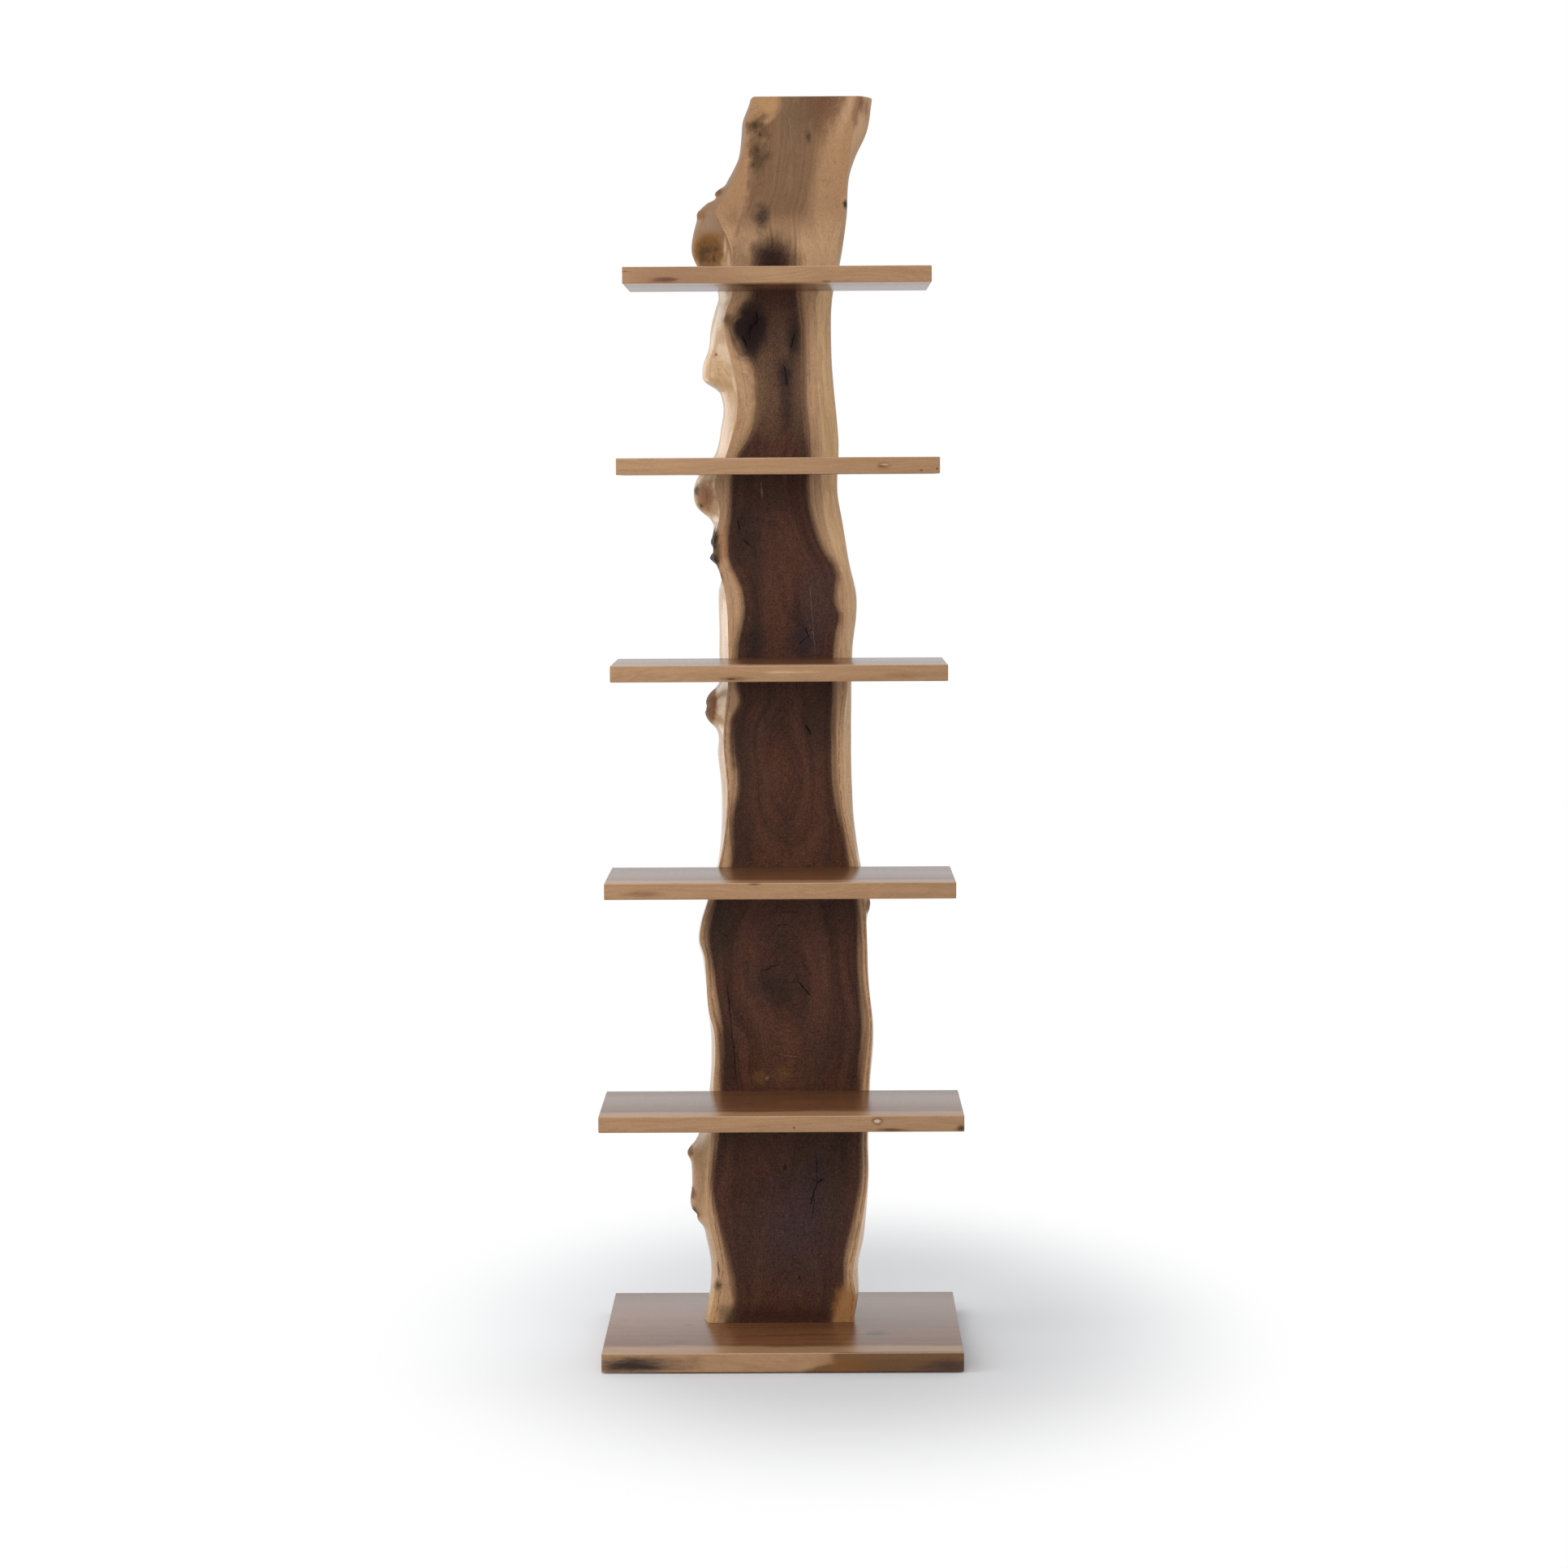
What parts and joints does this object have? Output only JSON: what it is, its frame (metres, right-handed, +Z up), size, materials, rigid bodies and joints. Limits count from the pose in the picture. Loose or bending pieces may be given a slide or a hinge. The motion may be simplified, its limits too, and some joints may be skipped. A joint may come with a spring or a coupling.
{
  "type": "display shelf",
  "caption": "Free-standing display shelf of live-edge walnut: plain boards cantilevered forward from one upright slab on a flat base board.",
  "frame": {"origin": "on the floor, in the middle of the whole object's outline seen from above", "axes": "+Z up, the front faces -Y, +X to the right when seen from the front"},
  "size_m": [0.6096, 0.492, 2.152],
  "materials": {
    "walnut_slab": "satin oil finish on figured heartwood with paler sapwood, knots and natural edges",
    "walnut_board": "semi-gloss finish on straight-grained heartwood with a pale sapwood strip along the front edge",
    "beech": "plain, fluted dowel stock",
    "black_steel": "black oxide",
    "zinc_steel": "bright zinc plate",
    "brass": "turned, unpolished",
    "felt": "pressed felt"
  },
  "bodies": {
    "root": {"spine_slab": "walnut_slab", "base_board": "walnut_board", "shelf_1_board": "walnut_board", "shelf_1_bolt_left": "black_steel", "shelf_1_washer_left": "zinc_steel", "shelf_1_insert_left": "brass", "shelf_1_dowel_left": "beech", "shelf_1_bolt_right": "black_steel", "shelf_1_washer_right": "zinc_steel", "shelf_1_insert_right": "brass", "shelf_1_dowel_right": "beech", "shelf_2_board": "walnut_board", "shelf_2_bolt_left": "black_steel", "shelf_2_washer_left": "zinc_steel", "shelf_2_insert_left": "brass", "shelf_2_dowel_left": "beech", "shelf_2_bolt_right": "black_steel", "shelf_2_washer_right": "zinc_steel", "shelf_2_insert_right": "brass", "shelf_2_dowel_right": "beech", "shelf_3_board": "walnut_board", "shelf_3_bolt_left": "black_steel", "shelf_3_washer_left": "zinc_steel", "shelf_3_insert_left": "brass", "shelf_3_dowel_left": "beech", "shelf_3_bolt_right": "black_steel", "shelf_3_washer_right": "zinc_steel", "shelf_3_insert_right": "brass", "shelf_3_dowel_right": "beech", "shelf_4_board": "walnut_board", "shelf_4_bolt_left": "black_steel", "shelf_4_washer_left": "zinc_steel", "shelf_4_insert_left": "brass", "shelf_4_dowel_left": "beech", "shelf_4_bolt_right": "black_steel", "shelf_4_washer_right": "zinc_steel", "shelf_4_insert_right": "brass", "shelf_4_dowel_right": "beech", "shelf_5_board": "walnut_board", "shelf_5_bolt_left": "black_steel", "shelf_5_washer_left": "zinc_steel", "shelf_5_insert_left": "brass", "shelf_5_dowel_left": "beech", "shelf_5_bolt_right": "black_steel", "shelf_5_washer_right": "zinc_steel", "shelf_5_insert_right": "brass", "shelf_5_dowel_right": "beech", "base_bolt_left": "black_steel", "base_washer_left": "zinc_steel", "base_barrel_nut_left": "zinc_steel", "base_dowel_left": "beech", "base_bolt_right": "black_steel", "base_washer_right": "zinc_steel", "base_barrel_nut_right": "zinc_steel", "base_dowel_right": "beech", "foot_front_left": "felt", "foot_front_right": "felt", "foot_back_left": "felt", "foot_back_right": "felt"}
  },
  "joints": []
}
